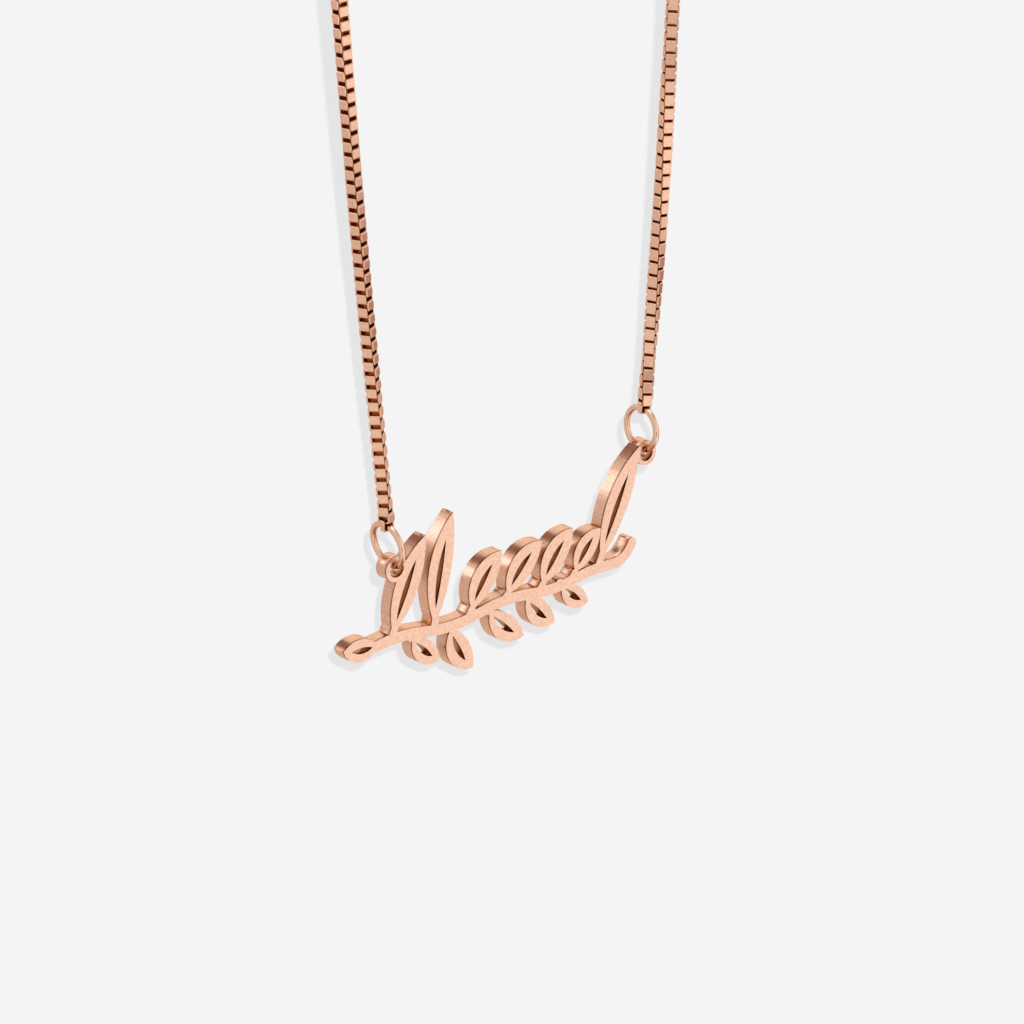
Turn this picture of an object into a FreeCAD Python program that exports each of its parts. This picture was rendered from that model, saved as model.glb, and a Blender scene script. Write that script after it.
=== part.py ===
"""A nameplate necklace, in millimetres, +Z up, shown hanging with the plate facing -Y.

The origin is the lowest point of the clasp, where the necklace sits on the nape of the neck.
The plate, the rings and both strands of the chain stand in the X-Z plane.
"""

import FreeCAD, Part
import math
import os

import Sketcher

Vector = FreeCAD.Vector

# Driving sizes: name, millimetres or degrees
SIZES = [
    ("plate_thickness", 1.6),
    ("plate_drop", 190.6),
    ("plate_shift", -0.3),
    ("stem_width", 1.15),
    ("stalk_width", 0.9),
    ("stalk_length", 0.5),
    ("slit_width", 0.65),
    ("slit_share", 0.62),
    ("slit_start", 0.14),
    ("lug_radius", 1.3),
    ("hole_radius", 0.85),
    ("left_hole_x", -14.44),
    ("left_hole_z", -2.47),
    ("right_hole_x", 17.65),
    ("right_hole_z", 2.20),
    ("ring_radius", 2.2),
    ("ring_wire_radius", 0.3),
    ("ring_to_hole", 2.43),
    ("left_ring_lean", -10.0),
    ("right_ring_lean", 0.0),
    ("chain_radius", 0.65),
    ("chain_gap", 0.12),
    ("clasp_radius", 2.6),
    ("clasp_wire_radius", 0.75),
    ("clasp_eye_radius", 1.1),
    ("clasp_eye_wire_radius", 0.3),
    ("clasp_eye_x", -4.3),
    ("clasp_ring_x", 3.6),
    ("clasp_ring_z", 3.2),
    ("clasp_ring_lean", 8.0),
]

# Leaves of the sprig: where each stalk leaves the stem, the leaf's length from there to its tip,
# its lean to the right, its width, and how far its middle bows out to its left
LEAF_COLUMNS = ("foot_x", "foot_z", "length", "lean", "width", "bow")
LEAVES = {
    "end_leaf": (-16.4, -9.7, 4.6, -86.0, 2.4, 0.25),
    "first_tall_leaf": (-15.2, -9.6, 10.7, 24.0, 2.9, 0.25),
    "second_tall_leaf": (-9.9, -9.9, 11.9, 12.0, 2.8, 0.45),
    "first_small_leaf": (-5.4, -9.4, 7.0, 36.0, 3.0, 0.45),
    "second_small_leaf": (-0.9, -8.9, 6.9, 44.0, 3.0, 0.45),
    "third_small_leaf": (3.7, -9.0, 6.9, 38.0, 3.0, 0.4),
    "fourth_small_leaf": (8.0, -8.7, 5.6, 40.0, 2.6, 0.35),
    "third_tall_leaf": (11.4, -8.3, 12.6, 25.0, 2.9, 0.3),
    "first_hanging_leaf": (-12.9, -9.8, 5.0, 132.0, 2.4, -0.3),
    "second_hanging_leaf": (-8.0, -9.9, 6.0, 150.0, 2.8, -0.45),
    "third_hanging_leaf": (-3.2, -9.4, 6.2, 130.0, 2.7, -0.45),
    "fourth_hanging_leaf": (1.6, -9.1, 5.6, 134.0, 2.6, -0.4),
    "fifth_hanging_leaf": (6.2, -9.0, 4.8, 128.0, 2.3, -0.3),
}

# The stem as arcs that run into one another: the radius of each, which is negative where the
# stem turns right, and the angle that it turns by
STEM_START = (-17.0, -9.8)
STEM_HEADING = 10.0
STEM_ARCS = [(-17.0, 20.0), (17.0, 24.0), (-17.0, 22.0), (17.0, 20.0), (-17.0, 16.0), (2.8, 70.0)]

# Middle line of each strand, upwards from its jump ring to the clasp, as X and Z
LEFT_ROUTE = [
    (-17.8, -164.5),
    (-20.0, -137.1),
    (-22.5, -103.0),
    (-24.3, -69.0),
    (-25.0, -38.0),
    (-25.2, -17.0),
    (-21.4, -7.5),
    (-14.0, -0.5),
]
RIGHT_ROUTE = [
    (19.1, -167.5),
    (20.8, -142.9),
    (22.9, -108.0),
    (24.5, -73.0),
    (25.0, -39.0),
    (25.2, -17.0),
    (21.4, -7.5),
    (14.0, -0.5),
]

# Share of the shorter run beside a bend that the bend's arc takes up
BEND_SHARE = 0.45

# How far a swept rod's volume may differ from its section times its length, as a share
VOLUME_SLACK = 0.01

# Distance between circles before their constraints move them to their places
CIRCLE_SPACING = 10


def make_sheet(doc):
    """The spreadsheet with every driving size under its own alias."""
    sheet = doc.addObject("Spreadsheet::Sheet", "Sheet")
    rows = list(SIZES)
    for name, values in LEAVES.items():
        rows += [(f"{name}_{column}", value) for column, value in zip(LEAF_COLUMNS, values)]
    for row, (alias, value) in enumerate(rows, start=1):
        sheet.set(f"A{row}", alias)
        sheet.set(f"B{row}", str(value))
        sheet.setAlias(f"B{row}", alias)
    doc.recompute()
    return sheet


def bind(item, **expressions):
    """Binds properties to expressions; two underlines stand for a dot in a property's name."""
    for name, expression in expressions.items():
        item.setExpression(name.replace("__", "."), expression)


# The nameplate


def new_sketch(body, name):
    """A sketch on the body's own X-Z plane: its x runs along X and its y along Z."""
    sketch = body.newObject("Sketcher::SketchObject", name)
    plane = next(item for item in body.Origin.OriginFeatures if item.Role == "XZ_Plane")
    sketch.AttachmentSupport = [(plane, "")]
    sketch.MapMode = "FlatFace"
    return sketch


def pad_plate(body, sketch):
    """Gives a sketch the plate's thickness, half to each side of the middle plane."""
    pad = body.newObject("PartDesign::Pad", sketch.Name + "_pad")
    pad.Profile = sketch
    pad.SideType = "Symmetric"
    bind(pad, Length="Sheet.plate_thickness")
    return pad


def polar(centre, radius, degrees):
    """The point at a radius and an angle from a centre, in a sketch."""
    angle = math.radians(degrees)
    return Vector(centre[0] + radius * math.cos(angle), centre[1] + radius * math.sin(angle), 0)


def arc(centre, radius, start, end):
    """The arc about a centre from one angle to another, in degrees, either way round."""
    return Part.Arc(*(polar(centre, radius, angle) for angle in (start, (start + end) / 2, end)))


def lens_edges(foot, middle, tip, width):
    """The two arcs of a pointed lens through its foot, tip and the width about its middle point."""
    ends = [Vector(x, y, 0) for x, y in (foot, tip)]
    sides = [Vector(middle[0] + side * width / 2, middle[1], 0) for side in (-1, 1)]
    return [Part.Arc(ends[0], sides[1], ends[1]), Part.Arc(ends[1], sides[0], ends[0])]


def lean_sketch(body, name, leaf):
    """A sketch whose origin is a leaf's foot and whose y axis runs along the leaf."""
    sketch = new_sketch(body, name)
    sketch.AttachmentOffset = FreeCAD.Placement(Vector(0, 0, 0), FreeCAD.Rotation(Vector(0, 0, 1), 0))
    bind(
        sketch,
        AttachmentOffset__Base__x=f"Sheet.{leaf}_foot_x",
        AttachmentOffset__Base__y=f"Sheet.{leaf}_foot_z",
        AttachmentOffset__Rotation__Angle=f"-Sheet.{leaf}_lean",
    )
    return sketch


def add_leaf(body, sheet, name):
    """One pointed leaf on a short stalk, with a slit along its middle line.

    The middle line bows out by x = -bow * (1 - u * u), where u runs from -1 at the blade's foot
    to 1 at its tip.
    """
    length, width, bow = (sheet.get(f"{name}_{column}") for column in ("length", "width", "bow"))
    blade_foot, half_stalk = sheet.get("stalk_length"), sheet.get("stalk_width") / 2
    half = (length - blade_foot) / 2

    def middle_line(share):
        along = 2 * share - 1
        return -bow * (1 - along**2), blade_foot + half + along * half

    slit_start = sheet.get("slit_start")
    slit_end = slit_start + sheet.get("slit_share")
    blade = lens_edges(*(middle_line(share) for share in (0, 0.5, 1)), width)
    slit_shares = (slit_start, (slit_start + slit_end) / 2, slit_end)
    slit = lens_edges(*(middle_line(share) for share in slit_shares), sheet.get("slit_width"))
    leaf = lean_sketch(body, name, name)
    leaf.addGeometry(blade + slit, False)
    pad_plate(body, leaf)
    stalk = lean_sketch(body, name + "_stalk", name)
    top = middle_line(slit_start)[1] - 2 * half_stalk
    stalk.addGeometry(
        [
            Part.LineSegment(Vector(half_stalk, 0, 0), Vector(half_stalk, top, 0)),
            arc((0, top), half_stalk, 0, 180),
            Part.LineSegment(Vector(-half_stalk, top, 0), Vector(-half_stalk, 0, 0)),
            arc((0, 0), half_stalk, 180, 360),
        ],
        False,
    )
    return pad_plate(body, stalk)


def ribbon_edges(start, heading, arcs, width):
    """The edges of a round-ended ribbon whose middle line is a run of tangent arcs."""
    left_side, right_side = [], []
    point, half_width = start, width / 2
    first_cap = arc(point, half_width, heading + 270, heading + 90)
    for radius, turn in arcs:
        side = math.copysign(1, radius)
        centre = polar(point, abs(radius), heading + side * 90)[:2]
        begin, end = heading - side * 90, heading - side * 90 + side * turn
        left_side.append(arc(centre, abs(radius) - side * half_width, begin, end))
        right_side.append(arc(centre, abs(radius) + side * half_width, begin, end))
        point = polar(centre, abs(radius), end)[:2]
        heading += side * turn
    last_cap = arc(point, half_width, heading - 90, heading + 90)
    return left_side + right_side + [first_cap, last_cap]


def add_stem(body, sheet):
    """The stem, a waved ribbon along the plate's foot that ends in an upturned tail."""
    sketch = new_sketch(body, "stem")
    edges = ribbon_edges(STEM_START, STEM_HEADING, STEM_ARCS, sheet.get("stem_width"))
    sketch.addGeometry(edges, False)
    return pad_plate(body, sketch)


def circle_sketch(body, name, places, radius_alias):
    """A sketch of circles at places given as pairs of aliases, with their sizes bound to the sheet."""
    sketch = new_sketch(body, name)
    for index, (x_alias, z_alias) in enumerate(places):
        guess = Part.Circle(Vector(index * CIRCLE_SPACING, 0, 0), Vector(0, 0, 1), 1)
        circle = sketch.addGeometry(guess, False)
        for kind, alias in (("DistanceX", x_alias), ("DistanceY", z_alias)):
            number = sketch.addConstraint(Sketcher.Constraint(kind, -1, 1, circle, 3, 1.0))
            sketch.setExpression(f"Constraints[{number}]", f"Sheet.{alias}")
        number = sketch.addConstraint(Sketcher.Constraint("Radius", circle, 1.0))
        sketch.setExpression(f"Constraints[{number}]", f"Sheet.{radius_alias}")
    return sketch


def make_nameplate(doc, sheet):
    """The pierced plate: stem, leaves and lugs in one solid, then the lugs' holes."""
    body = doc.addObject("PartDesign::Body", "nameplate")
    add_stem(body, sheet)
    for name in LEAVES:
        add_leaf(body, sheet, name)
    holes = [("left_hole_x", "left_hole_z"), ("right_hole_x", "right_hole_z")]
    pad_plate(body, circle_sketch(body, "lugs", holes, "lug_radius"))
    doc.recompute()
    volume = body.Shape.Volume
    pocket = body.newObject("PartDesign::Pocket", "lug_holes")
    pocket.Profile = circle_sketch(body, "hole_circles", holes, "hole_radius")
    pocket.Type = "ThroughAll"
    pocket.SideType = "Symmetric"
    doc.recompute()
    least = math.pi * sheet.get("hole_radius") ** 2 * sheet.get("plate_thickness")
    assert volume - body.Shape.Volume > least, "the lug holes cut nothing"
    bind(body, Placement__Base__x="Sheet.plate_shift", Placement__Base__z="-Sheet.plate_drop")
    return body


# The jump rings


def hole_centre(sheet, side):
    """The middle of a lug's hole."""
    x = sheet.get(f"{side}_hole_x") + sheet.get("plate_shift")
    return Vector(x, 0, sheet.get(f"{side}_hole_z") - sheet.get("plate_drop"))


def along_lean(lean):
    """The upward direction of a ring or strand that leans to the right by an angle in degrees."""
    return Vector(math.sin(math.radians(lean)), 0, math.cos(math.radians(lean)))


def ring_centre(sheet, side):
    """The middle of a jump ring, in line with the hole that it hangs the plate by."""
    return hole_centre(sheet, side) + along_lean(sheet.get(f"{side}_ring_lean")) * sheet.get("ring_to_hole")


def make_jump_ring(doc, side):
    """A round wire ring through the lug, its plane square to the plate's."""
    ring = doc.addObject("Part::Torus", f"{side}_jump_ring")
    reach = f"Sheet.ring_to_hole * sin(Sheet.{side}_ring_lean * 1 deg)"
    rise = f"Sheet.ring_to_hole * cos(Sheet.{side}_ring_lean * 1 deg)"
    ring.Placement = FreeCAD.Placement(Vector(0, 0, 0), FreeCAD.Rotation(Vector(0, 1, 0), 90))
    bind(
        ring,
        Radius1="Sheet.ring_radius",
        Radius2="Sheet.ring_wire_radius",
        Placement__Base__x=f"Sheet.{side}_hole_x + Sheet.plate_shift + {reach}",
        Placement__Base__z=f"Sheet.{side}_hole_z - Sheet.plate_drop + {rise}",
        Placement__Rotation__Angle=f"90 + Sheet.{side}_ring_lean",
    )
    return ring


# The clasp and its ring


def make_clasp(doc):
    """A plain round clasp with a small eye for the left strand, soldered into one piece."""
    hoop = doc.addObject("Part::Torus", "clasp_hoop")
    eye = doc.addObject("Part::Torus", "clasp_eye")
    bind(hoop, Radius1="Sheet.clasp_radius", Radius2="Sheet.clasp_wire_radius")
    bind(eye, Radius1="Sheet.clasp_eye_radius", Radius2="Sheet.clasp_eye_wire_radius")
    upright = FreeCAD.Rotation(Vector(1, 0, 0), 90)
    for item in (hoop, eye):
        item.Placement = FreeCAD.Placement(Vector(0, 0, 0), upright)
        bind(item, Placement__Base__z="Sheet.clasp_radius + Sheet.clasp_wire_radius")
    bind(eye, Placement__Base__x="Sheet.clasp_eye_x")
    clasp = doc.addObject("Part::MultiFuse", "clasp")
    clasp.Shapes = [hoop, eye]
    return clasp


def make_clasp_ring(doc):
    """The ring that the clasp hooks through, nearly level, with the right strand at its other side."""
    ring = doc.addObject("Part::Torus", "clasp_ring")
    ring.Placement = FreeCAD.Placement(Vector(0, 0, 0), FreeCAD.Rotation(Vector(0, 1, 0), 1))
    bind(
        ring,
        Radius1="Sheet.ring_radius",
        Radius2="Sheet.ring_wire_radius",
        Placement__Base__x="Sheet.clasp_ring_x",
        Placement__Base__z="Sheet.clasp_ring_z",
        Placement__Rotation__Angle="Sheet.clasp_ring_lean",
    )
    return ring


# The chain


def route_points(sheet, side):
    """The middle line of one strand, from the wire of its jump ring to the wire at the clasp."""
    lower = ring_centre(sheet, side) + along_lean(sheet.get(f"{side}_ring_lean")) * sheet.get("ring_radius")
    if side == "left":
        last = LEFT_ROUTE[-1]
        eye = Vector(sheet.get("clasp_eye_x"), 0, sheet.get("clasp_radius") + sheet.get("clasp_wire_radius"))
        towards_eye = (eye - Vector(last[0], 0, last[1])).normalize()
        upper = eye - towards_eye * sheet.get("clasp_eye_radius")
    else:
        lean = math.radians(sheet.get("clasp_ring_lean"))
        centre = Vector(sheet.get("clasp_ring_x"), 0, sheet.get("clasp_ring_z"))
        upper = centre + Vector(math.cos(lean), 0, -math.sin(lean)) * sheet.get("ring_radius")
    route = LEFT_ROUTE if side == "left" else RIGHT_ROUTE
    return [lower] + [Vector(x, 0, z) for x, z in route] + [upper]


def lengthened(points, extra):
    """The same route with both of its ends drawn out by a length."""
    first = points[0] + (points[0] - points[1]).normalize() * extra
    last = points[-1] + (points[-1] - points[-2]).normalize() * extra
    return [first] + points[1:-1] + [last]


def rounded_path(points):
    """A wire of straight runs joined by tangent arcs, and the radius of each arc."""
    runs = [(b - a).Length for a, b in zip(points, points[1:])]
    edges, radii, start = [], [], points[0]
    for before, corner, after, run_in, run_out in zip(points, points[1:], points[2:], runs, runs[1:]):
        arriving, leaving = (corner - before).normalize(), (after - corner).normalize()
        half_turn = arriving.getAngle(leaving) / 2
        setback = BEND_SHARE * min(run_in, run_out)
        radius = setback / math.tan(half_turn)
        arc_start, arc_end = corner - arriving * setback, corner + leaving * setback
        inward = (leaving - arriving).normalize()
        centre = corner + inward * (radius / math.cos(half_turn))
        edges.append(Part.LineSegment(start, arc_start).toShape())
        edges.append(Part.Arc(arc_start, centre - inward * radius, arc_end).toShape())
        radii.append(radius)
        start = arc_end
    edges.append(Part.LineSegment(start, points[-1]).toShape())
    return Part.Wire(edges), radii


def make_chain(doc, sheet, side, end_rings):
    """One strand as a round rod, holed at both ends where the rings' wires pass through it."""
    radius = sheet.get("chain_radius")
    points = lengthened(route_points(sheet, side), radius)
    wire, radii = rounded_path(points)
    print(side, "chain", round(wire.Length, 1), "mm, bends", [round(value, 1) for value in radii])
    path = doc.addObject("Part::Feature", f"{side}_path")
    path.Shape = wire
    section = doc.addObject("Part::Circle", f"{side}_section")
    bind(section, Radius="Sheet.chain_radius")
    turn = FreeCAD.Rotation(Vector(0, 0, 1), points[1] - points[0])
    section.Placement = FreeCAD.Placement(points[0], turn)
    rod = doc.addObject("Part::Sweep", f"{side}_rod")
    rod.Sections = [section]
    rod.Spine = (path, [f"Edge{number}" for number in range(1, len(wire.Edges) + 1)])
    rod.Solid = True
    rod.Frenet = False
    doc.recompute()
    expected = math.pi * radius**2 * wire.Length
    slack = abs(rod.Shape.Volume / expected - 1)
    assert slack < VOLUME_SLACK, "the rod's volume isn't its section times its length"
    passages = []
    for index, ring in enumerate(end_rings):
        passage = doc.addObject("Part::Torus", f"{side}_passage_{index + 1}")
        bind(
            passage,
            Radius1=f"{ring.Name}.Radius1",
            Radius2=f"{ring.Name}.Radius2 + Sheet.chain_gap * 1 mm",
            Placement=f"{ring.Name}.Placement",
        )
        passages.append(passage)
    both = doc.addObject("Part::MultiFuse", f"{side}_passages")
    both.Shapes = passages
    chain = doc.addObject("Part::Cut", f"{side}_chain")
    chain.Base = rod
    chain.Tool = both
    return chain


def check_document(doc, parts):
    """Stops where any object has failed or any sub-part is not one valid solid."""
    for item in doc.Objects:
        bad = {"Invalid", "Error"} & set(item.State)
        assert not bad, f"{item.Name} is {bad}"
    for part in parts:
        shape = part.Shape
        assert not shape.isNull() and shape.isValid(), f"{part.Label} has no valid shape"
        assert len(shape.Solids) == 1, f"{part.Label} is {len(shape.Solids)} solids"
        print(part.Label, "volume", round(shape.Volume, 2), "faces", len(shape.Faces))


def main():
    """Builds the document, checks it and writes one file for each sub-part."""
    os.makedirs("parts", exist_ok=True)
    doc = FreeCAD.newDocument("nameplate_necklace")
    sheet = make_sheet(doc)
    nameplate = make_nameplate(doc, sheet)
    left_ring, right_ring = (make_jump_ring(doc, side) for side in ("left", "right"))
    clasp = make_clasp(doc)
    clasp_ring = make_clasp_ring(doc)
    eye = doc.getObject("clasp_eye")
    left_chain = make_chain(doc, sheet, "left", [left_ring, eye])
    right_chain = make_chain(doc, sheet, "right", [right_ring, clasp_ring])
    doc.recompute()
    parts = [nameplate, left_ring, right_ring, left_chain, right_chain, clasp, clasp_ring]
    check_document(doc, parts)
    for part in parts:
        part.Shape.exportStep(os.path.join("parts", part.Label + ".step"))


main()
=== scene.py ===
"""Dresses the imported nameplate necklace: a satin plate, polished wire rings and two strands of box chain.

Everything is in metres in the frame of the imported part, with +Z up and the plate facing -Y.
"""

import sys

import logging
import math
from collections.abc import Sequence
from dataclasses import dataclass
from enum import Enum

import bmesh
import bpy
import numpy as np
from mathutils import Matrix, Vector

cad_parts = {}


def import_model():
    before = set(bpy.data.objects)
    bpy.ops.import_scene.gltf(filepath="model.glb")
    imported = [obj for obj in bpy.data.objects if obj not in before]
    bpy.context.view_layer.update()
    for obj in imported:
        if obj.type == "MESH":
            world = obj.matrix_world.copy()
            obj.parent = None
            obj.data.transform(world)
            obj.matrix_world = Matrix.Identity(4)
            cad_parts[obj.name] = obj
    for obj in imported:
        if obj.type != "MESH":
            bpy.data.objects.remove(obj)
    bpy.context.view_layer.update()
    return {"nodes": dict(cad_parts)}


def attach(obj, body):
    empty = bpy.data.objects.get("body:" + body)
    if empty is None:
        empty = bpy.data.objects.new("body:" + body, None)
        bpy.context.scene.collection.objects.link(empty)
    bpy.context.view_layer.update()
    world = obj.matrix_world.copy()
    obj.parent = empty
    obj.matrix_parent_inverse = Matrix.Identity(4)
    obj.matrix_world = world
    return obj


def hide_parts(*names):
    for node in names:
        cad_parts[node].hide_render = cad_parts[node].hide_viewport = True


MM = 0.001
WALL_MARK = "wall"
WELD = 0.002 * MM
DEPTH_AXIS = np.array((0.0, 1.0, 0.0))
LOG = logging.getLogger("necklace")

Point = tuple[float, float, float]
Colour = tuple[float, float, float]


class Body(str, Enum):
    """The bodies that pieces ride on."""

    CHAIN = "chain"
    PLATE = "plate"


class Slot(str, Enum):
    """The record's material slots."""

    PLATE = "plate_metal"
    WIRE = "ring_wire"
    CHAIN = "chain_metal"


class Side(Enum):
    """The two sides of the necklace as it hangs, seen from the front."""

    LEFT = "left"
    RIGHT = "right"


# Node trees

NOISE_ROUGHNESS = 0.6
NOISE_MIDDLE = 0.5

# The numbers of the Mix node's sockets for colours
MIX_SHARE, MIX_FIRST, MIX_SECOND, MIX_RESULT = 0, 6, 7, 2


def add_node(
    tree: bpy.types.NodeTree, kind: str, inputs: dict[str | int, object] | None = None, **settings: object
) -> bpy.types.Node:
    """Adds one node with its settings, and its sockets as values or as links.

    Args:
        tree: the node tree that it goes into.
        kind: the node's type name without its "ShaderNode".
        inputs: what each socket, by its name or number, is set to or linked from.
        settings: the node's own settings.

    Returns:
        The new node.
    """
    node = tree.nodes.new("ShaderNode" + kind)
    for name, value in settings.items():
        setattr(node, name, value)
    for key, value in (inputs or {}).items():
        if isinstance(value, bpy.types.NodeSocket):
            tree.links.new(value, node.inputs[key])
        else:
            node.inputs[key].default_value = value
    return node


def noise(
    tree: bpy.types.NodeTree, place: bpy.types.NodeSocket, size: float, detail: float
) -> bpy.types.NodeSocket:
    """Adds a noise whose grains lie a size in metres apart, with finer grains laid over them."""
    inputs = {"Vector": place, "Scale": 1 / size, "Detail": detail, "Roughness": NOISE_ROUGHNESS}
    return add_node(tree, "TexNoise", inputs).outputs["Fac"]


def remap(
    tree: bpy.types.NodeTree,
    value: bpy.types.NodeSocket,
    before: tuple[float, float],
    after: tuple[float, float],
    kind: str = "LINEAR",
) -> bpy.types.NodeSocket:
    """Carries a value from one range to another and stops it at the new range's ends.

    Args:
        tree: the node tree that the step goes into.
        value: the value.
        before: the range that it is read in.
        after: the range that it is carried to.
        kind: the form of the step between the two ends.

    Returns:
        The value in its new range.
    """
    names = ("From Min", "From Max", "To Min", "To Max")
    inputs = {"Value": value, **dict(zip(names, (*before, *after)))}
    return add_node(tree, "MapRange", inputs, interpolation_type=kind).outputs[0]


def reckon(
    tree: bpy.types.NodeTree, operation: str, *values: float | bpy.types.NodeSocket
) -> bpy.types.NodeSocket:
    """Adds one step of arithmetic on numbers or sockets, given in the Math node's order."""
    return add_node(tree, "Math", dict(enumerate(values)), operation=operation).outputs[0]


def blend(
    tree: bpy.types.NodeTree,
    share: bpy.types.NodeSocket,
    first: bpy.types.NodeSocket | Colour,
    second: bpy.types.NodeSocket | Colour,
    kind: str = "MIX",
) -> bpy.types.NodeSocket:
    """Takes one colour over to another, or to its product with the other.

    Args:
        tree: the node tree that it goes into.
        share: how far it goes, from 0 for the first colour to 1.
        first: the first colour.
        second: the other colour.
        kind: "MIX" for the other colour, or "MULTIPLY" for the product.

    Returns:
        The mixed colour.
    """
    inputs = {MIX_SHARE: share}
    for socket, colour in ((MIX_FIRST, first), (MIX_SECOND, second)):
        inputs[socket] = colour if isinstance(colour, bpy.types.NodeSocket) else (*colour, 1.0)
    return add_node(tree, "Mix", inputs, data_type="RGBA", blend_type=kind).outputs[MIX_RESULT]


def add_bump(
    tree: bpy.types.NodeTree,
    height: bpy.types.NodeSocket,
    depth: float,
    normal: bpy.types.NodeSocket | None = None,
) -> bpy.types.NodeSocket:
    """Adds a bump to a normal.

    Args:
        tree: the node tree that it goes into.
        height: the height, from 0 to 1.
        depth: what a height of 1 stands for, in metres.
        normal: the normal that it is added to, or None for the surface's own.

    Returns:
        The bumped normal.
    """
    inputs = {"Height": height, "Strength": 1.0, "Distance": depth}
    if normal is not None:
        inputs["Normal"] = normal
    return add_node(tree, "Bump", inputs).outputs["Normal"]


def blank_tree(owner: bpy.types.Material | bpy.types.World | bpy.types.Light) -> bpy.types.NodeTree:
    """Empties the node tree of a material, a world or a light.

    Args:
        owner: what the tree belongs to.

    Returns:
        The tree with nothing in it.
    """
    owner.use_nodes = True
    owner.node_tree.nodes.clear()
    return owner.node_tree


# Finishes


@dataclass(frozen=True)
class CreviceShade:
    """Painted shade where other metal closes in on it, in the metal's colour and its grazing gloss.

    Metal with less than closed_at of its surroundings free within reach is multiplied by the
    shade, and metal with more than open_at of them free is left as it is.
    """

    shade: Colour
    reach: float = 0.5 * MM
    closed_at: float = 0.25
    open_at: float = 0.85
    samples: int = 6


@dataclass(frozen=True)
class CutWalls:
    """The walls of a cut sheet: streaks across their thickness in painted shade, and a painted shade line at
    the front rim.

    The streaks are a noise drawn out along Y by streak_stretch, and the line comes in where the
    distance in front of the sheet's middle plane passes from rim_from to rim_to.
    """

    streak_depth: float
    added_roughness: float
    shade: Colour
    rim_from: float
    rim_to: float
    rim_shade: Colour
    streak_stretch: float = 20.0
    streak_range: tuple[float, float] = (0.35, 0.65)
    streak_cover: tuple[float, float] = (0.2, 1.0)

    def mark(
        self,
        tree: bpy.types.NodeTree,
        place: bpy.types.NodeSocket,
        grain_size: float,
        look: tuple[bpy.types.NodeSocket, bpy.types.NodeSocket, bpy.types.NodeSocket],
    ) -> tuple[bpy.types.NodeSocket, bpy.types.NodeSocket, bpy.types.NodeSocket]:
        """Marks the walls of a finish with their streaks, their painted shade and the painted shade line at
        the rim.

        Args:
            tree: the material's node tree.
            place: the object's coordinates.
            grain_size: how far apart the streaks lie, in metres.
            look: the colour, the roughness and the normal so far.

        Returns:
            The colour, the roughness and the normal with the walls marked.
        """
        tone, rough, normal = look
        wall = add_node(tree, "Attribute", attribute_name=WALL_MARK).outputs["Fac"]
        drawn_out = (1.0, 1 / self.streak_stretch, 1.0)
        drawn = add_node(tree, "Mapping", {"Vector": place, "Scale": drawn_out}).outputs[0]
        streak = noise(tree, drawn, grain_size, detail=4.0)
        depth = reckon(tree, "MULTIPLY", streak, wall)
        normal = add_bump(tree, depth, self.streak_depth, normal)
        rough = reckon(tree, "MULTIPLY_ADD", wall, self.added_roughness, rough)
        streaked = remap(tree, streak, self.streak_range, self.streak_cover)
        # Painted shade: the walls are multiplied darker than the flat sides, broken up by the streaks
        wall_shade_share = reckon(tree, "MULTIPLY", wall, streaked)
        tone = blend(tree, wall_shade_share, tone, self.shade, "MULTIPLY")
        # Painted shade: a thin dark line on the walls along the front rim
        across = add_node(tree, "SeparateXYZ", {0: place}).outputs["Y"]
        near_rim = remap(tree, across, (-self.rim_from, -self.rim_to), (0.0, 1.0))
        rim = reckon(tree, "MULTIPLY", near_rim, wall)
        tone = blend(tree, rim, tone, self.rim_shade, "MULTIPLY")
        return tone, rough, normal


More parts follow.
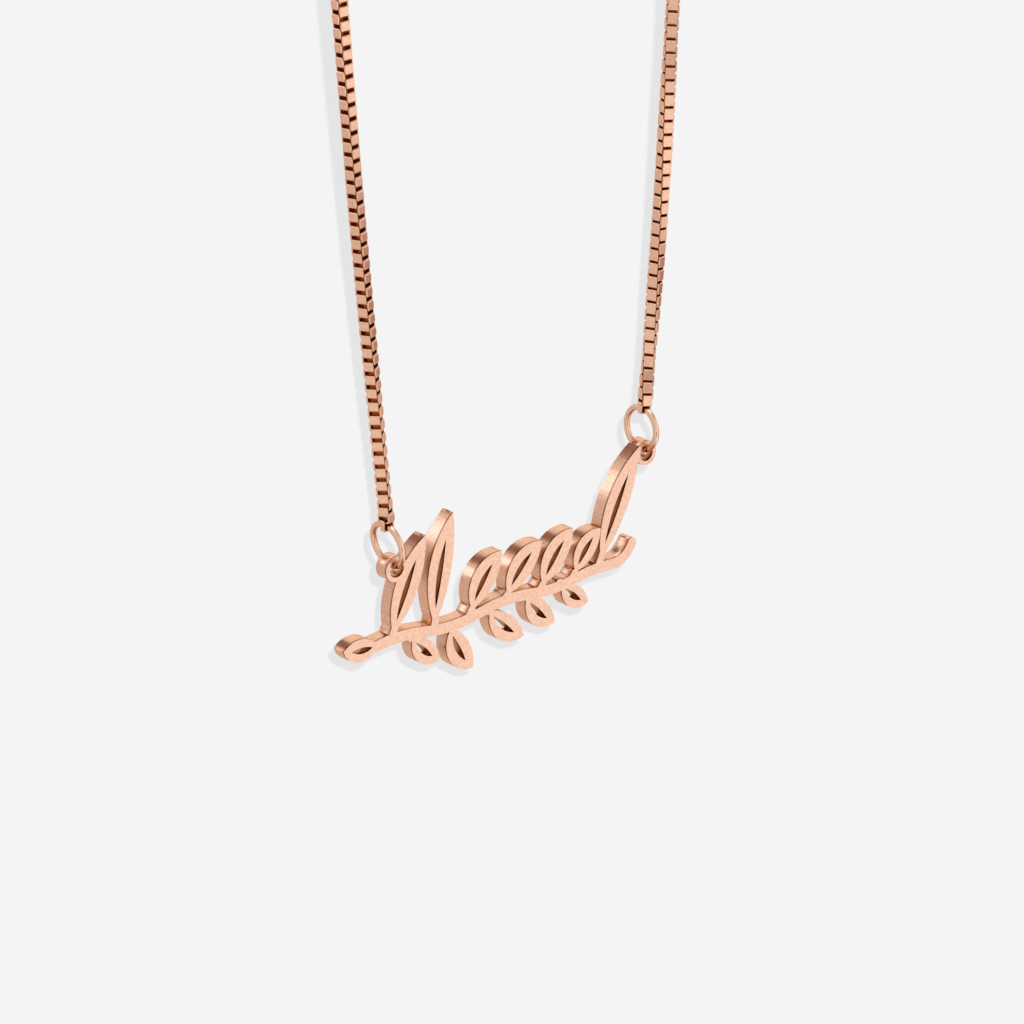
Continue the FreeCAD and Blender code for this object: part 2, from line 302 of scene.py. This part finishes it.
@dataclass(frozen=True)
class RoseGold:
    """Rose gold plating whose grain is a fine noise in the object's own coordinates.

    The grain goes from the shade to the colour, and the roughness varies in broader patches that
    are mottle_grains times the grain's size.
    """

    name: str
    colour: Colour
    shade: Colour
    roughness: float
    roughness_range: float
    grain_size: float
    grain_depth: float
    crevice_shade: CreviceShade
    grain_contrast: float = 0.25
    walls: CutWalls | None = None
    mottle_grains: float = 12.0
    mottle_range: tuple[float, float] = (0.3, 0.7)
    grazing: Colour = (0.95, 0.72, 0.58)

    def build(self) -> bpy.types.Material:
        """Makes the material: mottled colour and roughness, a bump from the grain, painted shade in hollows
        and gaps.

        Returns:
            The material.
        """
        material = bpy.data.materials.new(self.name)
        tree = blank_tree(material)
        place = add_node(tree, "TexCoord").outputs["Object"]
        grain = noise(tree, place, self.grain_size, detail=3.0)
        contrast = NOISE_MIDDLE - self.grain_contrast, NOISE_MIDDLE + self.grain_contrast
        share = remap(tree, grain, contrast, (0.0, 1.0))
        tone = blend(tree, share, self.shade, self.colour)
        mottle = noise(tree, place, self.mottle_grains * self.grain_size, detail=2.0)
        spread = self.roughness - self.roughness_range, self.roughness + self.roughness_range
        rough = remap(tree, mottle, self.mottle_range, spread)
        normal = add_bump(tree, grain, self.grain_depth)
        if self.walls:
            tone, rough, normal = self.walls.mark(tree, place, self.grain_size, (tone, rough, normal))
        # Painted shade: the colour and the grazing tint are multiplied darker in hollows and gaps
        inside = self.find_crevice_shade(tree)
        metal = add_node(
            tree,
            "BsdfPrincipled",
            {
                "Base Color": blend(tree, inside, tone, self.crevice_shade.shade, "MULTIPLY"),
                "Metallic": 1.0,
                "Roughness": rough,
                "Specular Tint": blend(tree, inside, self.grazing, self.crevice_shade.shade, "MULTIPLY"),
                "Normal": normal,
            },
        )
        add_node(tree, "OutputMaterial", {"Surface": metal.outputs[0]})
        return material

    def find_crevice_shade(self, tree: bpy.types.NodeTree) -> bpy.types.NodeSocket:
        """Finds how closed in a point is, which sets how much painted shade it gets.

        Args:
            tree: the material's node tree.

        Returns:
            0 on open metal, going to 1 deep in hollows and gaps, where the painted shade is full.
        """
        looked_at = {"Distance": self.crevice_shade.reach}
        free = add_node(tree, "AmbientOcclusion", looked_at, samples=self.crevice_shade.samples)
        ends = self.crevice_shade.closed_at, self.crevice_shade.open_at
        return remap(tree, free.outputs["AO"], ends, (1.0, 0.0))


SATIN_PLATE = RoseGold(
    "satin_rose_gold",
    colour=(1.000, 0.660, 0.495),
    shade=(0.890, 0.535, 0.380),
    roughness=0.36,
    roughness_range=0.03,
    grain_size=0.24 * MM,
    grain_depth=0.003 * MM,
    grain_contrast=0.13,
    walls=CutWalls(
        streak_depth=0.010 * MM,
        added_roughness=-0.17,
        # Painted shade that makes the walls darker than the front
        shade=(0.88, 0.79, 0.71),
        # Painted shade line along the front rim
        rim_from=0.52 * MM,
        rim_to=0.70 * MM,
        rim_shade=(0.36, 0.25, 0.18),
    ),
    # Painted shade in the slits and around the lug holes
    crevice_shade=CreviceShade(shade=(0.66, 0.66, 0.58), reach=1.3 * MM, closed_at=0.48, open_at=0.90),
)
POLISHED_WIRE = RoseGold(
    "polished_rose_gold_wire",
    colour=(0.930, 0.600, 0.440),
    shade=(0.880, 0.550, 0.390),
    roughness=0.12,
    roughness_range=0.03,
    grain_size=0.15 * MM,
    grain_depth=0.002 * MM,
    # Painted shade where the wire passes through lugs and links
    crevice_shade=CreviceShade(shade=(0.35, 0.22, 0.14)),
)
CHAIN_METAL = RoseGold(
    "rose_gold_chain",
    colour=(1.000, 0.640, 0.460),
    shade=(0.910, 0.530, 0.350),
    roughness=0.28,
    roughness_range=0.05,
    grain_size=0.20 * MM,
    grain_depth=0.004 * MM,
    grain_contrast=0.15,
    # Painted shade in the gaps between the links
    crevice_shade=CreviceShade(shade=(0.34, 0.18, 0.07), reach=0.6 * MM, closed_at=0.20, open_at=0.92),
)


@dataclass(frozen=True)
class PalePaint:
    """The floor's matt off-white."""

    name: str
    colour: Colour

    def build(self) -> bpy.types.Material:
        """Makes the matt material.

        Returns:
            The material.
        """
        material = bpy.data.materials.new(self.name)
        tree = blank_tree(material)
        matt = add_node(tree, "BsdfDiffuse", {"Color": (*self.colour, 1.0), "Roughness": 0.0})
        add_node(tree, "OutputMaterial", {"Surface": matt.outputs[0]})
        return material


# Meshes


def closed_grid(rows: int, columns: int) -> np.ndarray:
    """Numbers the faces of a grid of points that closes on itself both ways.

    Args:
        rows: the number of rows, whose points follow one another.
        columns: the number of points in a row.

    Returns:
        An array of rows * columns faces of four points; the face at row i, column j runs
        through the points (i, j), (i + 1, j), (i + 1, j + 1) and (i, j + 1).
    """
    i, j = np.meshgrid(np.arange(rows), np.arange(columns), indexing="ij")
    next_i, next_j = (i + 1) % rows, (j + 1) % columns
    corners = [i * columns + j, next_i * columns + j, next_i * columns + next_j, i * columns + next_j]
    return np.stack(corners, axis=-1).reshape(-1, 4)


def look_up(at: np.ndarray, along: np.ndarray, rows: np.ndarray) -> np.ndarray:
    """Reads rows of numbers, known at distances along a line, at other distances."""
    return np.stack([np.interp(at, along, column) for column in rows.T], axis=-1)


def new_piece(name: str, points: np.ndarray, faces: np.ndarray) -> bpy.types.Object:
    """Makes a smooth mesh object at the origin from arrays of points and of four-sided faces.

    Args:
        name: the piece's name.
        points: the points, one row each.
        faces: the faces, as rows of four point numbers.

    Returns:
        The new object.
    """
    mesh = bpy.data.meshes.new(name)
    mesh.from_pydata(points.reshape(-1, 3), [], faces.tolist())
    mesh.validate()
    mesh.shade_smooth()
    piece = bpy.data.objects.new(name, mesh)
    bpy.context.scene.collection.objects.link(piece)
    return piece


def merged_copy(solid: bpy.types.Object, name: str, flat: float = 0.0) -> bpy.types.Object:
    """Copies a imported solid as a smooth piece, with its loose triangles merged.

    Args:
        solid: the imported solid.
        name: the piece's name.
        flat: the angle under which neighbouring faces become one face, or 0 to keep all.

    Returns:
        The new object.
    """
    work = bmesh.new()
    work.from_mesh(solid.data)
    bmesh.ops.remove_doubles(work, verts=work.verts, dist=WELD)
    if flat:
        bmesh.ops.dissolve_limit(work, angle_limit=flat, verts=work.verts, edges=work.edges)
    mesh = bpy.data.meshes.new(name)
    work.to_mesh(mesh)
    work.free()
    mesh.shade_smooth()
    piece = bpy.data.objects.new(name, mesh)
    bpy.context.scene.collection.objects.link(piece)
    return piece


def dress(piece: bpy.types.Object, finish: bpy.types.Material, body: Body, node: str) -> None:
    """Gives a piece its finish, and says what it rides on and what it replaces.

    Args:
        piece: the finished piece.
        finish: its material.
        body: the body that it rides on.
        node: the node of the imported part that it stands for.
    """
    piece.data.materials.clear()
    piece.data.materials.append(finish)
    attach(piece, body.value)
    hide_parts(node)
    LOG.info("%s: %d faces, in place of %s", piece.name, len(piece.data.polygons), node)


# The nameplate


@dataclass
class Nameplate:
    """The pierced plate, with its edges eased and its walls marked for their streaks and their painted
    shade.

    Faces that meet at less than the flat angle become one, and edges sharper than the sharp angle
    are rounded to the edge's width.
    """

    name: str = "sprig_plate"
    flat: float = math.radians(0.6)
    edge: float = 0.07 * MM
    edge_steps: int = 2
    sharp: float = math.radians(50)
    large_face_weight: int = 100

    def build(self, solid: bpy.types.Object, finish: bpy.types.Material) -> bpy.types.Object:
        """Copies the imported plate, marks its walls and eases its sharp edges.

        The wall mark of a face is one less the size of its normal's Y part, so it is 0 on the two
        flat sides and 1 on the walls.

        Args:
            solid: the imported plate.
            finish: the plate's material.

        Returns:
            The dressed plate.
        """
        piece = merged_copy(solid, self.name, self.flat)
        mesh = piece.data
        normals = np.empty(len(mesh.polygons) * 3)
        mesh.polygons.foreach_get("normal", normals)
        wall = mesh.attributes.new(WALL_MARK, "FLOAT", "FACE")
        wall.data.foreach_set("value", 1 - np.abs(normals.reshape(-1, 3) @ DEPTH_AXIS))
        eased = piece.modifiers.new("eased_edges", "BEVEL")
        eased.width, eased.segments = self.edge, self.edge_steps
        eased.limit_method, eased.angle_limit = "ANGLE", self.sharp
        piece.modifiers.new("flat_faces", "WEIGHTED_NORMAL").weight = self.large_face_weight
        dress(piece, finish, Body.PLATE, solid.name)
        return piece


# Rings


@dataclass
class WireRing:
    """A round wire ring with the fine seam where its ends meet.

    A hanging ring stands in the plane of Y and of the line that leans from +Z towards +X. A level
    ring lies in the plane of Y and of the line that leans from +X towards -Z. The lean, the seam's
    place and its width are in degrees, and its depth is a share of the wire's radius.
    """

    name: str
    node: str
    centre: Point
    lean: float
    level: bool = False
    radius: float = 2.2 * MM
    wire: float = 0.32 * MM
    seam_at: float = 200.0
    seam_width: float = 1.2
    seam_depth: float = 0.12
    even_share: float = 0.35
    around: int = 96
    across: int = 20

    def axes(self) -> tuple[np.ndarray, np.ndarray, np.ndarray]:
        """Works out how the ring stands.

        Returns:
            Two directions in the ring's plane, and the one square to it.
        """
        angle = math.radians(self.lean)
        up, out = (math.sin(angle), 0.0, math.cos(angle)), (math.cos(angle), 0.0, -math.sin(angle))
        first = np.array(out if self.level else up)
        return first, DEPTH_AXIS, np.cross(first, DEPTH_AXIS)

    def build(self, finish: bpy.types.Material) -> bpy.types.Object:
        """Makes the ring from two angles, u round the ring and v round its wire.

        A point is the centre, plus the direction at u times the sum of the ring's radius and the
        wire's radius times the cosine of v, plus the normal times the wire's radius times the
        sine of v. The wire's radius dips by a narrow bell curve at the seam.

        Args:
            finish: the wire's material.

        Returns:
            The dressed ring.
        """
        first, second, normal = self.axes()
        u = self.ring_angles()[:, None]
        v = np.linspace(0, 2 * np.pi, self.across, endpoint=False)[None, :]
        away = (np.degrees(u) - self.seam_at) / self.seam_width
        wire = self.wire * (1 - self.seam_depth * np.exp(-(away**2)))
        reach, rise = self.radius + wire * np.cos(v), wire * np.sin(v)
        points = (
            np.array(self.centre)
            + (reach * np.cos(u))[..., None] * first
            + (reach * np.sin(u))[..., None] * second
            + rise[..., None] * normal
        )
        piece = new_piece(self.name, points, closed_grid(self.around, self.across))
        dress(piece, finish, Body.CHAIN, self.node)
        return piece

    def ring_angles(self) -> np.ndarray:
        """Works out the angles round the ring, drawn together at the seam so that it shows crisply.

        An angle is the seam's, plus half a turn times a mix of a share from -1 to 1 and its cube.

        Returns:
            One angle in radians for each section of the ring.
        """
        share = np.linspace(-1, 1, self.around, endpoint=False)
        drawn = self.even_share * share + (1 - self.even_share) * share**3
        return np.radians(self.seam_at) + np.pi * drawn


# The chain


@dataclass
class BoxChain:
    """One strand of box chain: square links of flat band, each turned a quarter from the last.

    The route and the twists come from the strand's own tables. The ends are alike where the last
    link is not a quarter turned from the first. The slack is the play along the strand between
    two links that meet, and the sway is the most that a link is turned by chance, in degrees.
    """

    side: Side
    route: Sequence[Point]
    twists: Sequence[tuple[float, float]]
    ends_alike: bool
    corner: float
    slack: float
    pitch: float = 0.675 * MM
    across: float = 1.34 * MM
    band_width: float = 0.98 * MM
    band_thickness: float = 0.17 * MM
    edge: float = 0.05 * MM
    inner_corner: float = 0.02 * MM
    end_link_length: float = 1.22 * MM
    end_link_rise: float = 0.10 * MM
    end_link_narrowing: float = 0.55
    sway: float = 1.2
    seed: int = 7
    route_order: int = 3
    route_steps: int = 48

    @property
    def link_length(self) -> float:
        """A link's length over all, which takes both neighbours' bands with the slack."""
        return self.pitch + 2 * self.band_thickness + self.slack

    def smooth_line(self) -> np.ndarray:
        """Draws the route's smooth line as a spline.

        Returns:
            Points along the spline, one row each.
        """
        curve = bpy.data.curves.new("route", "CURVE")
        curve.dimensions = "3D"
        curve.resolution_u = self.route_steps
        spline = curve.splines.new("NURBS")
        spline.points.add(len(self.route) - 1)
        spline.points.foreach_set("co", np.array([(*point, 1.0) for point in self.route]).ravel())
        spline.order_u = self.route_order
        spline.use_endpoint_u = True
        holder = bpy.data.objects.new("route", curve)
        bpy.context.scene.collection.objects.link(holder)
        graph = bpy.context.evaluated_depsgraph_get()
        line = bpy.data.meshes.new_from_object(holder.evaluated_get(graph))
        points = np.empty(len(line.vertices) * 3)
        line.vertices.foreach_get("co", points)
        bpy.data.meshes.remove(line)
        bpy.data.objects.remove(holder)
        bpy.data.curves.remove(curve)
        return points.reshape(-1, 3)

    def places(self) -> tuple[np.ndarray, np.ndarray, np.ndarray]:
        """Works out where the links stand along the strand.

        The first and last links stand off the route's ends by end_link_rise, and the others are
        spread evenly between them.

        Returns:
            The links' middles, the directions of the strand there, and their distances along it.
        """
        line = self.smooth_line()
        steps = np.diff(line, axis=0)
        lengths = np.linalg.norm(steps, axis=1)
        along = np.concatenate([[0.0], np.cumsum(lengths)])
        overlap = 2 * self.band_thickness + self.slack / 2
        first_step = (self.end_link_length + self.link_length) / 2 - overlap
        inner = along[-1] - 2 * (self.end_link_rise + first_step)
        count = 2 * round(inner / self.pitch / 2) + int(self.ends_alike)
        distances = np.concatenate(
            [
                [self.end_link_rise],
                np.linspace(0, inner, count) + self.end_link_rise + first_step,
                [along[-1] - self.end_link_rise],
            ]
        )
        middles = look_up(distances, along, line)
        directions = look_up(distances, (along[1:] + along[:-1]) / 2, steps / lengths[:, None])
        directions /= np.linalg.norm(directions, axis=1, keepdims=True)
        return middles, directions, distances

    def frames(self, directions: np.ndarray, distances: np.ndarray) -> np.ndarray:
        """Turns the axes of each link.

        The hole of a link runs along the cosine of its twist times Y, plus the sine times the
        direction that is square to both Y and the strand. Every other link has a quarter turn
        more, and each sways by a little at random.

        Args:
            directions: the strand's direction at each link.
            distances: each link's distance along the strand.

        Returns:
            One 3 by 3 array a link, whose rows are the hole's direction, the one out of the
            link's wide faces and the strand's.
        """
        count = len(distances)
        random = np.random.default_rng(self.seed)
        places, angles = np.array(self.twists).T
        twist = np.interp(distances / MM, places, angles) + 90.0 * (np.arange(count) % 2)
        inside = np.ones(count)
        inside[[0, -1]] = 0.0
        angle = np.radians(twist + inside * random.uniform(-self.sway, self.sway, count))[:, None]
        square = np.cross(directions, DEPTH_AXIS)
        hole = np.cos(angle) * DEPTH_AXIS + np.sin(angle) * square
        lean = np.radians(inside * random.uniform(-self.sway, self.sway, count))[:, None]
        along = np.cos(lean) * directions + np.sin(lean) * np.cross(directions, hole)
        return np.stack([hole, np.cross(along, hole), along], axis=1)

    def link_shape(self) -> tuple[np.ndarray, np.ndarray, np.ndarray]:
        """Makes one link, as a band's section carried round a rectangle with rounded corners.

        Round the link, three points on each corner's arc stand at the arc's middle plus its
        radius times the direction there. Across the band, six points step along the hole, each at
        its own depth in the metal, with the two outer edges cut off. The arc's radius is the
        corner's less the depth, or at least the inner corner's. A normal is a share of the
        hole's direction plus a share of the outward one.

        Returns:
            The points and, for each face, its four points and their four normals.
        """
        on_arc = np.array([0.0, 45.0, 90.0])
        sides_of_corners, heights_of_corners = np.array([1, -1, -1, 1]), np.array([1, 1, -1, -1])
        angles = np.radians(np.add.outer(90.0 * np.arange(len(sides_of_corners)), on_arc).ravel())
        outwards = np.stack([np.zeros_like(angles), np.cos(angles), np.sin(angles)], axis=-1)
        sideways = np.repeat(sides_of_corners, len(on_arc))
        upwards = np.repeat(heights_of_corners, len(on_arc))
        outer, inner = self.band_width / 2, self.band_width / 2 - self.edge
        reach = np.array([-outer, -inner, inner, outer, outer, -outer])
        depth = np.array([self.edge, 0.0, 0.0, self.edge, self.band_thickness, self.band_thickness])
        radius = np.maximum(self.corner - depth, self.inner_corner)
        points = np.stack(
            [
                np.broadcast_to(reach, (len(angles), len(reach))),
                sideways[:, None] * (self.across / 2 - depth - radius) + radius * outwards[:, 1:2],
                upwards[:, None] * (self.link_length / 2 - depth - radius) + radius * outwards[:, 2:],
            ],
            axis=-1,
        )
        faces = closed_grid(len(angles), len(reach))
        hole = np.array((1.0, 0.0, 0.0))
        # The normals at the two edges of each face of the section, as pairs of shares
        starts = np.array([(-1, 0), (0, 1), (0, 1), (1, 0), (0, -1), (-1, 0)], float)
        ends = np.array([(0, 1), (0, 1), (1, 0), (1, 0), (0, -1), (-1, 0)], float)
        start, end = (
            shares[None, :, :1] * hole + shares[None, :, 1:] * outwards[:, None] for shares in (starts, ends)
        )
        next_start, next_end = np.roll(start, -1, axis=0), np.roll(end, -1, axis=0)
        normals = np.stack([start, next_start, next_end, end], axis=2)
        return points.reshape(-1, 3), faces, normals.reshape(-1, 4, 3)

    def build(self, finish: bpy.types.Material) -> bpy.types.Object:
        """Sets a link at every place of the strand.

        A link's point is its place plus each of its axes times the shape's coordinate; the first
        and last links are drawn out to take the wire that they hold.

        Args:
            finish: the chain's material.

        Returns:
            The dressed strand.
        """
        middles, directions, distances = self.places()
        frames = self.frames(directions, distances)
        shape, faces, normals = self.link_shape()
        extra = np.zeros(len(middles))
        extra[[0, -1]] = (self.end_link_length - self.link_length) / 2
        drawn = np.repeat(shape[None], len(middles), axis=0)
        drawn[..., 2] += np.sign(shape[:, 2]) * extra[:, None]
        drawn[[0, -1], :, 0] *= self.end_link_narrowing
        points = middles[:, None] + drawn @ frames
        numbers = np.arange(len(middles))[:, None, None] * len(shape) + faces[None]
        strand = new_piece(f"{self.side.value}_box_chain", points, numbers.reshape(-1, 4))
        turned = normals.reshape(1, -1, 3) @ frames
        strand.data.normals_split_custom_set(turned.reshape(-1, 3).tolist())
        dress(strand, finish, Body.CHAIN, f"{self.side.value}_chain")
        LOG.info("%s strand: %d links", self.side.value, len(middles))
        return strand


# The clasp


@dataclass
class Clasp:
    """The plain round clasp with its eye."""

    name: str = "round_clasp"
    crease: float = math.radians(40)

    def build(self, solid: bpy.types.Object, finish: bpy.types.Material) -> bpy.types.Object:
        """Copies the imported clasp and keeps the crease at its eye.

        Args:
            solid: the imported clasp.
            finish: the wire's material.

        Returns:
            The dressed clasp.
        """
        piece = merged_copy(solid, self.name)
        piece.data.set_sharp_from_angle(angle=self.crease)
        dress(piece, finish, Body.CHAIN, solid.name)
        return piece


# The studio


@dataclass(frozen=True)
class SoftBox:
    """A soft patch of light or shade on the studio's walls, by the direction that it is seen in.

    It has its whole light within the core and none past the rim, both in degrees from its middle.
    """

    azimuth: float
    elevation: float
    core: float
    rim: float
    light: float

    def direction(self) -> Point:
        """Works out where its middle lies: azimuth from +X towards +Y, elevation from the horizon.

        Returns:
            The direction, of length one.
        """
        azimuth, elevation = math.radians(self.azimuth), math.radians(self.elevation)
        level = math.cos(elevation)
        return level * math.cos(azimuth), level * math.sin(azimuth), math.sin(elevation)


@dataclass
class Studio:
    """The pale floor, the soft light and the camera at the photograph's viewing angle.

    The camera's azimuth runs from -Y towards +X, and its lens and sensor are in millimetres.
    """

    wall_light: float = 0.78
    shade_tint: Colour = (1.10, 0.40, 0.18)
    glare_from: float = 1.1
    glare_to: float = 1.9
    glare_tint: Colour = (1.00, 1.05, 1.25)
    boxes: tuple[SoftBox, ...] = (
        SoftBox(azimuth=-50, elevation=-14, core=18, rim=75, light=0.26),
        SoftBox(azimuth=135, elevation=-22, core=18, rim=50, light=-0.08),
        SoftBox(azimuth=94, elevation=43, core=8, rim=15, light=-0.56),
        SoftBox(azimuth=126, elevation=25, core=5, rim=12, light=0.95),
        SoftBox(azimuth=-30, elevation=44, core=6, rim=24, light=-0.35),
        SoftBox(azimuth=-8, elevation=-18, core=8, rim=26, light=-0.60),
        SoftBox(azimuth=247, elevation=-18, core=6, rim=14, light=-0.70),
        SoftBox(azimuth=226, elevation=-20, core=6, rim=30, light=0.10),
        SoftBox(azimuth=0, elevation=-88, core=10, rim=42, light=-0.50),
        SoftBox(azimuth=50, elevation=22, core=8, rim=26, light=0.25),
        SoftBox(azimuth=60, elevation=80, core=8, rim=34, light=1.5),
    )
    floor_height: float = -0.262
    floor_half: float = 12.0
    floor_finish: PalePaint = PalePaint("pale_floor", (0.757, 0.750, 0.713))
    target: Point = (-0.3 * MM, -0.8 * MM, -190.6 * MM)
    azimuth: float = -40.0
    elevation: float = 20.0
    distance: float = 380 * MM
    lens: float = 136.3
    sensor: float = 36.0
    clip: tuple[float, float] = (0.01, 50.0)
    lamp_right: float = 1.9 * MM
    lamp_up: float = 2.5 * MM
    lamp_radius: float = 0.35 * MM
    lamp_energy: float = 6.5
    lamp_least_slope: float = 0.05

    def build_light(self) -> None:
        """Lights the world: an even wall light plus each soft box's smooth patch.

        From the wall light down the sum takes on the shade's tint, and from glare_from up to
        glare_to the glare's, so that dark reflections are warm and bright ones are cool.
        """
        world = bpy.data.worlds.new("studio")
        bpy.context.scene.world = world
        tree = blank_tree(world)
        seen = add_node(tree, "TexCoord").outputs["Generated"]
        total = self.wall_light
        for box in self.boxes:
            facing = add_node(
                tree, "VectorMath", {0: seen, 1: box.direction()}, operation="DOT_PRODUCT"
            ).outputs["Value"]
            ends = math.cos(math.radians(box.rim)), math.cos(math.radians(box.core))
            patch = remap(tree, facing, ends, (0.0, box.light), "SMOOTHSTEP")
            total = reckon(tree, "ADD", total, patch)
        share = remap(tree, total, (0.0, self.wall_light), (0.0, 1.0))
        tint = blend(tree, share, self.shade_tint, (1.0, 1.0, 1.0))
        glare = remap(tree, total, (self.glare_from, self.glare_to), (0.0, 1.0))
        tint = blend(tree, glare, tint, self.glare_tint)
        light = add_node(tree, "Background", {"Color": tint, "Strength": total})
        add_node(tree, "OutputWorld", {"Surface": light.outputs[0]})

    def build_floor(self) -> None:
        """Lays the plain floor, which the metal's own reflections leave out."""
        half, height = self.floor_half, self.floor_height
        corners = np.array([(-half, -half), (half, -half), (half, half), (-half, half)])
        points = np.column_stack([corners, np.full(len(corners), height)])
        floor = new_piece("floor", points, np.arange(len(corners))[None])
        floor.data.materials.append(self.floor_finish.build())
        floor.visible_glossy = False

    def towards_camera(self) -> Vector:
        """Works out the line of sight.

        Returns:
            The direction from the plate to the camera.
        """
        azimuth, elevation = math.radians(self.azimuth), math.radians(self.elevation)
        level = math.cos(elevation)
        return Vector((math.sin(azimuth) * level, -math.cos(azimuth) * level, math.sin(elevation)))

    def build_lamp(self) -> None:
        """Sets a small lamp above and right of the lens, whose only work is a soft shadow on the floor.

        Its strength is the same at any distance, and is divided by how steeply the light goes
        down, or at least by lamp_least_slope, so that it lights the level floor evenly.
        """
        light = bpy.data.lights.new("shadow_lamp", "POINT")
        light.shadow_soft_size = self.lamp_radius
        light.energy = self.lamp_energy
        tree = blank_tree(light)
        way = add_node(tree, "TexCoord").outputs["Normal"]
        down = add_node(tree, "SeparateXYZ", {0: way}).outputs["Z"]
        steep = reckon(tree, "ABSOLUTE", down)
        kept = reckon(tree, "MAXIMUM", steep, self.lamp_least_slope)
        even = reckon(tree, "DIVIDE", 1.0, kept)
        steady = add_node(tree, "LightFalloff", {"Strength": even}).outputs["Constant"]
        glow = add_node(tree, "Emission", {"Strength": steady})
        add_node(tree, "OutputLight", {"Surface": glow.outputs[0]})
        lamp = bpy.data.objects.new("shadow_lamp", light)
        back = self.towards_camera()
        right = Vector((0.0, 0.0, 1.0)).cross(back).normalized()
        lamp.location = (
            Vector(self.target)
            + back * self.distance
            + right * self.lamp_right
            + back.cross(right) * self.lamp_up
        )
        lamp.visible_glossy = False
        bpy.context.scene.collection.objects.link(lamp)

    def build_camera(self) -> None:
        """Sets the camera on the photograph's line of sight to the plate."""
        back = self.towards_camera()
        lens = bpy.data.cameras.new("camera")
        lens.lens, lens.sensor_width = self.lens, self.sensor
        lens.clip_start, lens.clip_end = self.clip
        camera = bpy.data.objects.new("camera", lens)
        camera.rotation_mode = "QUATERNION"
        camera.location = Vector(self.target) + back * self.distance
        camera.rotation_quaternion = (-back).to_track_quat("-Z", "Y")
        bpy.context.scene.collection.objects.link(camera)
        bpy.context.scene.camera = camera

    def build(self) -> None:
        """Builds the light, the floor, the lamp and the camera."""
        self.build_light()
        self.build_floor()
        self.build_lamp()
        self.build_camera()
        bpy.context.scene.view_settings.view_transform = "Standard"


# The middle of each wire ring, in metres
LEFT_RING_CENTRE = (-0.015162, 0.0, -0.190677)
RIGHT_RING_CENTRE = (0.01735, 0.0, -0.18597)
CLASP_RING_CENTRE = (0.0036, 0.0, 0.0032)

# Each strand's middle line from its jump ring's wire to the wire at the clasp, as points in metres,
# and its twist, as millimetres along the strand and degrees
LEFT_ROUTE = (
    (-0.015544, -0.0004, -0.188490),
    (-0.0178, 0.0, -0.1645),
    (-0.0200, 0.0, -0.1371),
    (-0.0225, 0.0, -0.1030),
    (-0.0243, 0.0, -0.0690),
    (-0.0250, 0.0, -0.0380),
    (-0.0252, 0.0, -0.0170),
    (-0.0214, 0.0, -0.0075),
    (-0.0140, 0.0, -0.0005),
    (-0.005322, 0.0, 0.002944),
)
LEFT_TWISTS = (
    (0, 0),
    (0.8, 14),
    (1.5, 28),
    (2.3, 42),
    (6, 43),
    (10, 40),
    (13, 36),
    (20, 25),
    (27.5, 20),
    (40, 10),
    (50.5, -4),
    (202, 0),
)
RIGHT_ROUTE = (
    (0.01735, -0.0004, -0.18375),
    (0.0191, -0.0003, -0.1675),
    (0.0208, 0.0, -0.1429),
    (0.0229, 0.0, -0.1080),
    (0.0245, 0.0, -0.0730),
    (0.0250, 0.0, -0.0390),
    (0.0252, 0.0, -0.0170),
    (0.0214, 0.0, -0.0075),
    (0.0140, 0.0, -0.0005),
    (0.005779, 0.0, 0.002894),
)
RIGHT_TWISTS = (
    (0, 0),
    (1.2, -25),
    (2.4, -28),
    (4.5, -40),
    (8.2, -54),
    (11.4, -64),
    (17.2, -79),
    (21.9, -88),
    (27, -104),
    (31.9, -112),
    (36.5, -128),
    (42.7, -130),
    (197, -180),
)


def main() -> None:
    """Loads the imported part, dresses each piece and sets up the studio."""
    logging.basicConfig(level=logging.INFO, format="%(name)s: %(message)s", stream=sys.stdout)
    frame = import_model()
    Studio().build()
    wire, metal = POLISHED_WIRE.build(), CHAIN_METAL.build()
    Nameplate().build(frame["nodes"]["nameplate"], SATIN_PLATE.build())
    WireRing("left_wire_ring", "left_jump_ring", LEFT_RING_CENTRE, lean=-10.0).build(wire)
    WireRing("right_wire_ring", "right_jump_ring", RIGHT_RING_CENTRE, lean=0.0).build(wire)
    BoxChain(
        Side.LEFT, LEFT_ROUTE, LEFT_TWISTS, ends_alike=True, corner=0.22 * MM, slack=0.02 * MM
    ).build(metal)
    BoxChain(
        Side.RIGHT, RIGHT_ROUTE, RIGHT_TWISTS, ends_alike=False, corner=0.15 * MM, slack=0.155 * MM
    ).build(metal)
    Clasp().build(frame["nodes"]["clasp"], wire)
    WireRing(
        "clasp_wire_ring", "clasp_ring", CLASP_RING_CENTRE, lean=8.0, level=True, seam_at=60.0
    ).build(wire)


if __name__ == "__main__":
    main()
